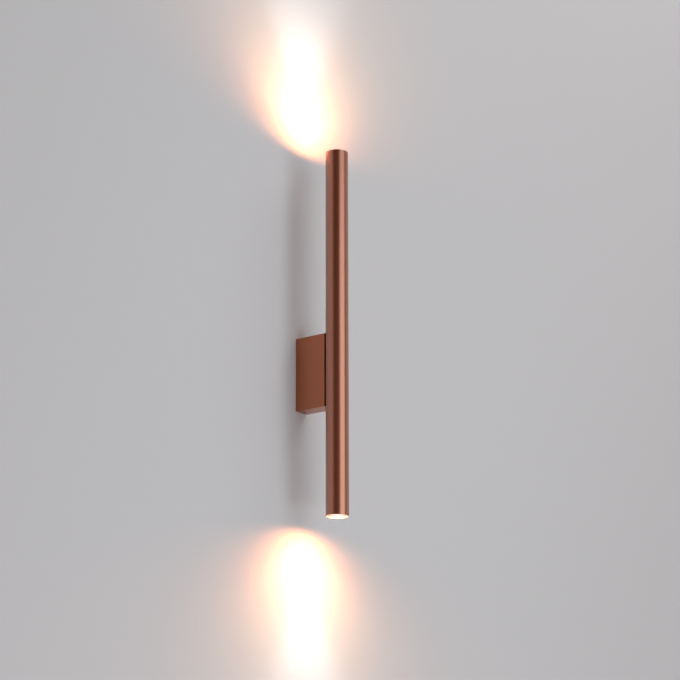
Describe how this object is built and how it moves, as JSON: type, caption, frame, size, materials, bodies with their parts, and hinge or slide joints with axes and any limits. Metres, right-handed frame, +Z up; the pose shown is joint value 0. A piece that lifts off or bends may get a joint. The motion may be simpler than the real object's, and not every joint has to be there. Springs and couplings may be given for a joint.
{
  "type": "tube wall light",
  "caption": "Slender up-and-down wall light: an upright round tube, open and lit at both ends, held off the wall by a small box that hides its wall plate and wiring.",
  "frame": {"origin": "on the wall, midway between the wall plate's two screw slots", "axes": "+Y into the wall, +Z up along the tube, +X to the right as one faces the wall"},
  "size_m": [0.03, 0.0735, 0.492],
  "materials": {
    "copper_brown_finish": "satin metallic lacquer in copper brown on aluminium",
    "zinc_plated_sheet": "zinc-plated pressed sheet steel",
    "screw_steel": "zinc-plated screws and washers",
    "black_rubber": "matte black rubber",
    "bare_aluminium": "mill-finish extruded bar",
    "terminal_brass": "machined brass",
    "plated_contact_metal": "nickel-plated spring alloy",
    "white_moulding": "moulded white plastic",
    "brown_insulation": "brown silicone insulation",
    "blue_insulation": "blue silicone insulation",
    "green_yellow_insulation": "green and yellow striped insulation",
    "ceramic": "unglazed white ceramic",
    "insulating_board": "pressed mica board",
    "lamp_base_plastic": "white heat-resistant plastic",
    "lamp_core_ceramic": "white ceramic core",
    "light_chips": "yellow phosphor over light-emitting chips",
    "frosted_cover": "frosted translucent cover, warm white when lit"
  },
  "bodies": {
    "wall_mount": {"wall_plate": "zinc_plated_sheet", "cable_bush": "black_rubber", "plate_earth_washer": "screw_steel", "plate_earth_screw": "screw_steel"},
    "luminaire": {"box_cover": "copper_brown_finish", "cover_set_screws": "screw_steel", "earth_lead": "green_yellow_insulation", "earth_tag": "plated_contact_metal", "lower_bracket_screw": "screw_steel", "lower_lampholder_back_plate": "insulating_board", "lower_lampholder_body": "ceramic", "lower_lampholder_bracket": "zinc_plated_sheet", "lower_lampholder_contacts": "plated_contact_metal", "lower_lampholder_screws": "screw_steel", "lower_live_wire": "brown_insulation", "lower_neutral_wire": "blue_insulation", "terminal_block": "white_moulding", "terminal_clamp_screws": "screw_steel", "terminal_foot_screw": "screw_steel", "terminal_inserts": "terminal_brass", "tube": "copper_brown_finish", "tube_saddle": "bare_aluminium", "tube_screw_washers": "screw_steel", "tube_screws": "screw_steel", "upper_bracket_screw": "screw_steel", "upper_lampholder_back_plate": "insulating_board", "upper_lampholder_body": "ceramic", "upper_lampholder_bracket": "zinc_plated_sheet", "upper_lampholder_contacts": "plated_contact_metal", "upper_lampholder_screws": "screw_steel", "upper_live_wire": "brown_insulation", "upper_neutral_wire": "blue_insulation", "wire_bush": "white_moulding"},
    "upper_lamp": {"upper_lamp_base": "lamp_base_plastic", "upper_lamp_chips": "light_chips", "upper_lamp_column": "lamp_core_ceramic", "upper_lamp_cover": "frosted_cover", "upper_lamp_pins": "plated_contact_metal"},
    "lower_lamp": {"lower_lamp_base": "lamp_base_plastic", "lower_lamp_chips": "light_chips", "lower_lamp_column": "lamp_core_ceramic", "lower_lamp_cover": "frosted_cover", "lower_lamp_pins": "plated_contact_metal"}
  },
  "joints": [
    {"name": "lift_off_wall_plate", "type": "slide", "parent": "wall_mount", "child": "luminaire", "axis": [0, -1, 0], "range_m": [0, 0.06]},
    {"name": "upper_lamp_pull", "type": "slide", "parent": "luminaire", "child": "upper_lamp", "axis": [0, 0, 1], "range_m": [0, 0.068]},
    {"name": "lower_lamp_pull", "type": "slide", "parent": "luminaire", "child": "lower_lamp", "axis": [0, 0, -1], "range_m": [0, 0.068]}
  ]
}
